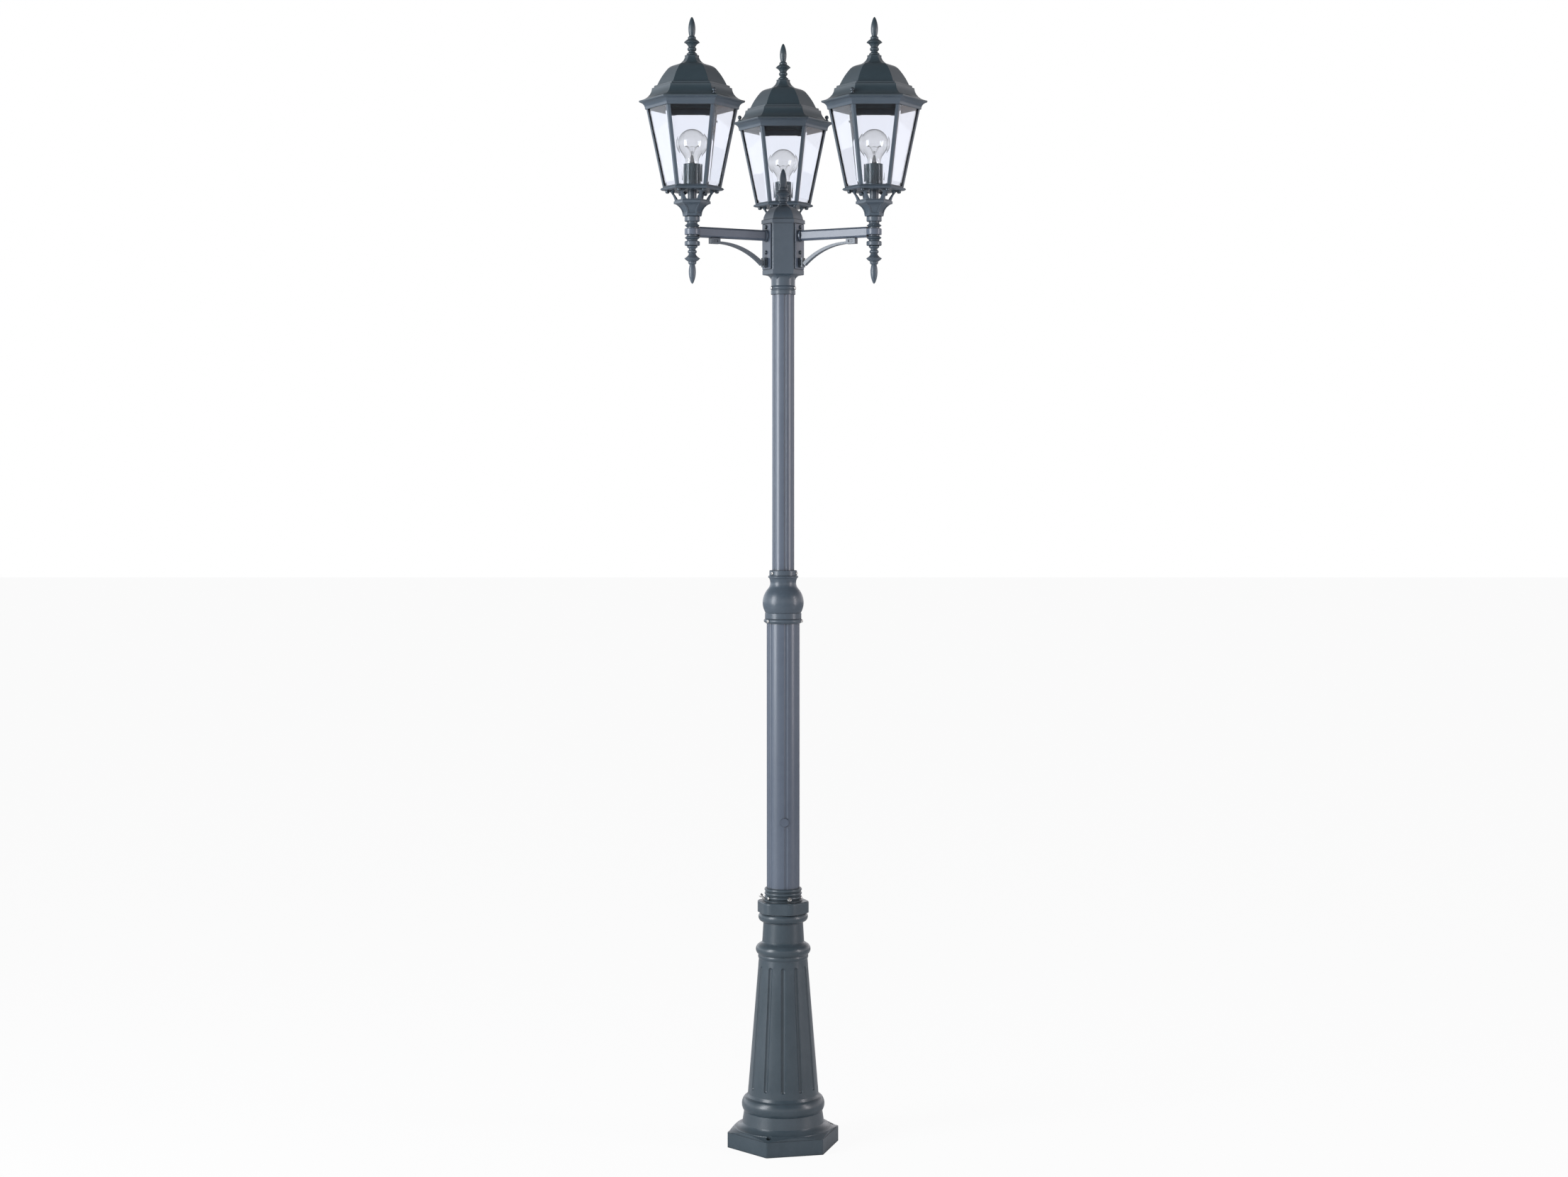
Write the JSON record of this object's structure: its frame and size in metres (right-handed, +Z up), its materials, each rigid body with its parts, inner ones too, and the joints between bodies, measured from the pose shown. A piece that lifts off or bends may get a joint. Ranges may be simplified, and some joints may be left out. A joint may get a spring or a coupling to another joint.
{
  "type": "street lamp post",
  "caption": "Fluted street lamp post with hexagonal glazed lanterns on braced arms, lift-off lantern roofs and a bolt-down foot.",
  "frame": {"origin": "on the ground at the post's own axis, the centre of the circle of anchor holes", "axes": "+Z up along the post, -Y the front, between the two front lanterns"},
  "size_m": [0.6114, 0.5295, 2.4402],
  "materials": {
    "painted_casting": "satin",
    "painted_screws": "satin",
    "zinc_screws": "satin",
    "clear_glass": "gloss",
    "socket_porcelain": "gloss",
    "lamp_cap_metal": "satin"
  },
  "bodies": {
    "post": {"base_casting": "painted_casting", "base_collar": "painted_casting", "base_clamp_screws": "zinc_screws", "small_set_screws": "zinc_screws", "lower_tube": "painted_casting", "tube_plug": "painted_casting", "ball_coupling": "painted_casting", "upper_tube": "painted_casting", "hub_body": "painted_casting", "hub_bridge": "zinc_screws", "arm_plate_screws": "painted_screws", "tie_rods": "zinc_screws", "basket_cap_nuts": "painted_screws", "left_arm": "painted_casting", "left_brace": "painted_casting", "left_spindles": "painted_casting", "left_lower_finial": "painted_casting", "left_basket": "painted_casting", "left_cage": "painted_casting", "left_panes": "clear_glass", "left_socket_cover": "painted_casting", "left_lamp_socket": "socket_porcelain", "right_arm": "painted_casting", "right_brace": "painted_casting", "right_spindles": "painted_casting", "right_lower_finial": "painted_casting", "right_basket": "painted_casting", "right_cage": "painted_casting", "right_panes": "clear_glass", "right_socket_cover": "painted_casting", "right_lamp_socket": "socket_porcelain", "rear_arm": "painted_casting", "rear_brace": "painted_casting", "rear_spindles": "painted_casting", "rear_lower_finial": "painted_casting", "rear_basket": "painted_casting", "rear_cage": "painted_casting", "rear_panes": "clear_glass", "rear_socket_cover": "painted_casting", "rear_lamp_socket": "socket_porcelain"},
    "left_roof_body": {"left_roof": "painted_casting", "left_roof_finial": "painted_casting"},
    "left_bulb_body": {"left_bulb_glass": "clear_glass", "left_bulb_cap": "lamp_cap_metal"},
    "left_knob_1_body": {"left_roof_knob_1": "painted_screws"},
    "left_knob_2_body": {"left_roof_knob_2": "painted_screws"},
    "right_roof_body": {"right_roof": "painted_casting", "right_roof_finial": "painted_casting"},
    "right_bulb_body": {"right_bulb_glass": "clear_glass", "right_bulb_cap": "lamp_cap_metal"},
    "right_knob_1_body": {"right_roof_knob_1": "painted_screws"},
    "right_knob_2_body": {"right_roof_knob_2": "painted_screws"},
    "rear_roof_body": {"rear_roof": "painted_casting", "rear_roof_finial": "painted_casting"},
    "rear_bulb_body": {"rear_bulb_glass": "clear_glass", "rear_bulb_cap": "lamp_cap_metal"},
    "rear_knob_1_body": {"rear_roof_knob_1": "painted_screws"},
    "rear_knob_2_body": {"rear_roof_knob_2": "painted_screws"},
    "hub_cap_body": {"hub_cap": "painted_casting", "hub_finial": "painted_casting"}
  },
  "joints": [
    {"name": "left_roof_lift", "type": "slide", "parent": "post", "child": "left_roof_body", "axis": [0, 0, 1], "range_m": [0, 0.15]},
    {"name": "left_bulb_turn", "type": "hinge", "parent": "post", "child": "left_bulb_body", "pos_m": [-0.19312, -0.1115, 2.15], "axis": [0, 0, 1], "range_deg": [0, 1080]},
    {"name": "left_knob_1_turn", "type": "hinge", "parent": "left_roof_body", "child": "left_knob_1_body", "pos_m": [-0.24212, -0.02663, 2.27], "axis": [0, 0, 1], "continuous": true},
    {"name": "left_knob_2_turn", "type": "hinge", "parent": "left_roof_body", "child": "left_knob_2_body", "pos_m": [-0.14412, -0.19637, 2.27], "axis": [0, 0, 1], "continuous": true},
    {"name": "right_roof_lift", "type": "slide", "parent": "post", "child": "right_roof_body", "axis": [0, 0, 1], "range_m": [0, 0.15]},
    {"name": "right_bulb_turn", "type": "hinge", "parent": "post", "child": "right_bulb_body", "pos_m": [0.19312, -0.1115, 2.15], "axis": [0, 0, 1], "range_deg": [0, 1080]},
    {"name": "right_knob_1_turn", "type": "hinge", "parent": "right_roof_body", "child": "right_knob_1_body", "pos_m": [0.14412, -0.19637, 2.27], "axis": [0, 0, 1], "continuous": true},
    {"name": "right_knob_2_turn", "type": "hinge", "parent": "right_roof_body", "child": "right_knob_2_body", "pos_m": [0.24212, -0.02663, 2.27], "axis": [0, 0, 1], "continuous": true},
    {"name": "rear_roof_lift", "type": "slide", "parent": "post", "child": "rear_roof_body", "axis": [0, 0, 1], "range_m": [0, 0.15]},
    {"name": "rear_bulb_turn", "type": "hinge", "parent": "post", "child": "rear_bulb_body", "pos_m": [0, 0.223, 2.15], "axis": [0, 0, 1], "range_deg": [0, 1080]},
    {"name": "rear_knob_1_turn", "type": "hinge", "parent": "rear_roof_body", "child": "rear_knob_1_body", "pos_m": [0.098, 0.223, 2.27], "axis": [0, 0, 1], "continuous": true},
    {"name": "rear_knob_2_turn", "type": "hinge", "parent": "rear_roof_body", "child": "rear_knob_2_body", "pos_m": [-0.098, 0.223, 2.27], "axis": [0, 0, 1], "continuous": true},
    {"name": "hub_cap_lift", "type": "slide", "parent": "post", "child": "hub_cap_body", "axis": [0, 0, 1], "range_m": [0, 0.1]}
  ]
}
